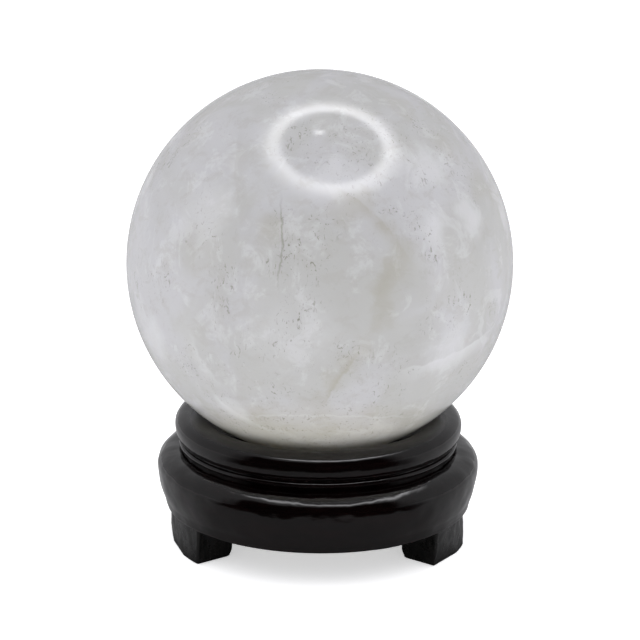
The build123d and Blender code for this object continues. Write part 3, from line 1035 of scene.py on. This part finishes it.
def make_floor():
    """Plain pale floor under the stand; gloss sees it dimmer, with painted shade nearly black under the
    stand, and dark in front beyond a small plinth.
    """
    mesh = bpy.data.meshes.new("floor")
    corners = [(x * FLOOR_REACH, y * FLOOR_REACH, 0) for x, y in ((-1, -1), (1, -1), (1, 1), (-1, 1))]
    mesh.from_pydata(corners, [], [(0, 1, 2, 3)])
    material, tree = new_material("floor_white")
    place = object_place(tree)
    parts = add_node(tree, "ShaderNodeSeparateXYZ", Vector=place)
    ahead = arithmetic(tree, "MULTIPLY", parts.outputs["Y"], -1.0)
    gap = vector_math(tree, "LENGTH", place, output="Value")
    level = FLOOR_IN_GLOSS
    clear_of_stand = PAINTED_SHADOW_RADIUS + FLOOR_FADE
    # Painted shade seen only by gloss: nearly black under the stand, dimmer around it and in front of it
    forward = ramp(tree, gap, [
        (PAINTED_SHADOW_RADIUS, level["under"]), (clear_of_stand, level["ahead"]),
        (PLINTH_RADIUS, level["ahead"]), (PLINTH_RADIUS + FLOOR_FADE, level["beyond"]),
    ])
    around = ramp(tree, gap, [
        (PAINTED_SHADOW_RADIUS, level["under"]), (clear_of_stand, level["around"]),
        (FAR_FLOOR[0], level["around"]), (FAR_FLOOR[1], level["far"]),
    ])
    in_gloss = mix_colour(tree, front_share(tree, parts.outputs["X"], ahead), around, forward)
    not_mirrored = arithmetic(tree, "SUBTRACT", 1.0, mirror_ray(tree))
    set_shader(
        material, Roughness=0.9, Specular_IOR_Level=0.0,
        Base_Color=mix_colour(tree, mirror_ray(tree), FLOOR_WHITE, in_gloss),
        Emission_Color=(1.0, 1.0, 1.0),
        Emission_Strength=arithmetic(tree, "MULTIPLY", not_mirrored, FLOOR_GLOW),
    )
    mesh.materials.append(material)
    floor = bpy.data.objects.new("floor", mesh)
    bpy.context.scene.collection.objects.link(floor)


def soft_ring(tree, direction, axis, half_angle, widths):
    """A glow that peaks at an angle from an axis, with inner and outer widths; at 0 it is a round lamp."""
    towards = vector_math(tree, "DOT_PRODUCT", direction, axis.normalized(), output="Value")
    capped = arithmetic(tree, "MINIMUM", towards, 1.0)
    off_ring = arithmetic(tree, "SUBTRACT", arithmetic(tree, "ARCCOSINE", capped), half_angle)
    inside = arithmetic(tree, "DIVIDE", arithmetic(tree, "MINIMUM", off_ring, 0.0), widths[0])
    outside = arithmetic(tree, "DIVIDE", arithmetic(tree, "MAXIMUM", off_ring, 0.0), widths[1])
    widths_away = arithmetic(tree, "ADD", inside, outside)
    squared = arithmetic(tree, "MULTIPLY", widths_away, widths_away)
    return arithmetic(tree, "EXPONENT", arithmetic(tree, "MULTIPLY", squared, -0.5))


def mirrored_in_ball(across, up):
    """Direction that the camera sees mirrored at a place on the ball."""
    facing = (in_ball(across, up) - BALL_CENTRE).normalized()
    return 2 * facing.dot(TO_CAMERA) * facing - TO_CAMERA


def make_sky():
    """A white light tent; gloss sees its bright ring overhead and the dark opening in front."""
    world = bpy.data.worlds.new("light_tent")
    bpy.context.scene.world = world
    world.use_nodes = True
    tree = world.node_tree
    direction = add_node(tree, "ShaderNodeTexCoord").outputs["Generated"]
    squeezed = add_node(tree, "ShaderNodeMapping", Vector=direction, Scale=(RING_SQUEEZE, 1.0, 1.0))
    evened = vector_math(tree, "NORMALIZE", squeezed.outputs["Vector"])
    ring = soft_ring(tree, evened, RING_DIRECTION, RING_HALF_ANGLE, RING_WIDTHS)
    lamp = soft_ring(tree, direction, mirrored_in_ball(*LAMP_IN_BALL), 0.0, LAMP_WIDTHS)
    parts = add_node(tree, "ShaderNodeSeparateXYZ", Vector=direction)
    height = arithmetic(tree, "ARCSINE", parts.outputs["Z"])
    below_top = ramp(tree, height, [(OPENING_TOP[0], 1.0), (OPENING_TOP[1], 0.0)])
    ahead = arithmetic(tree, "MULTIPLY", parts.outputs["Y"], -1.0)
    opening = arithmetic(tree, "MULTIPLY", below_top, front_share(tree, parts.outputs["X"], ahead))
    wall = mix_colour(tree, opening, WALL_IN_GLOSS, OPENING_IN_GLOSS)
    ring_light = arithmetic(tree, "MULTIPLY", ring, RING_STRENGTH)
    lamp_light = arithmetic(tree, "MULTIPLY", lamp, LAMP_STRENGTH)
    glow = arithmetic(tree, "ADD", ring_light, lamp_light)
    in_gloss = mix_colour(tree, 1.0, wall, glow, blend="ADD")
    upward = arithmetic(tree, "MAXIMUM", parts.outputs["Z"], 0.0)
    soft = ramp(tree, upward, [(0.0, SKY_LOW), (1.0, SKY_HIGH)], smooth=False)
    colour = mix_colour(tree, mirror_ray(tree), soft, in_gloss)
    tinted = mix_colour(tree, 1.0, colour, SKY_TINT, blend="MULTIPLY")
    tree.links.new(tinted, tree.nodes["Background"].inputs["Color"])
    tree.nodes["Background"].inputs["Strength"].default_value = SKY_STRENGTH


def make_camera():
    """Long lens a little above the ball, looking down at the stand's collar."""
    lens = bpy.data.cameras.new("camera")
    lens.sensor_width = SENSOR_WIDTH
    lens.lens = LENS_LENGTH
    lens.clip_start = 0.01
    lens.clip_end = 50.0
    camera = bpy.data.objects.new("camera", lens)
    camera.location = BALL_CENTRE + CAMERA_DISTANCE * TO_CAMERA
    facing = (BALL_CENTRE + CAMERA_AIM - camera.location).to_track_quat("-Z", "Y").to_matrix()
    camera.rotation_euler = (facing @ Matrix.Rotation(CAMERA_ROLL, 3, "Z")).to_euler()
    bpy.context.scene.collection.objects.link(camera)
    bpy.context.scene.camera = camera


# ---------------- build
make_camera()
make_sky()
make_floor()
make_rings(lacquer_material())
make_feet(carved_material())
make_ball(quartz_material(), core_material())
make_flaws()
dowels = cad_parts["foot_dowels"]
dowels.data.materials.clear()
dowels.data.materials.append(dowel_material())
bpy.context.scene.view_settings.view_transform = "Standard"
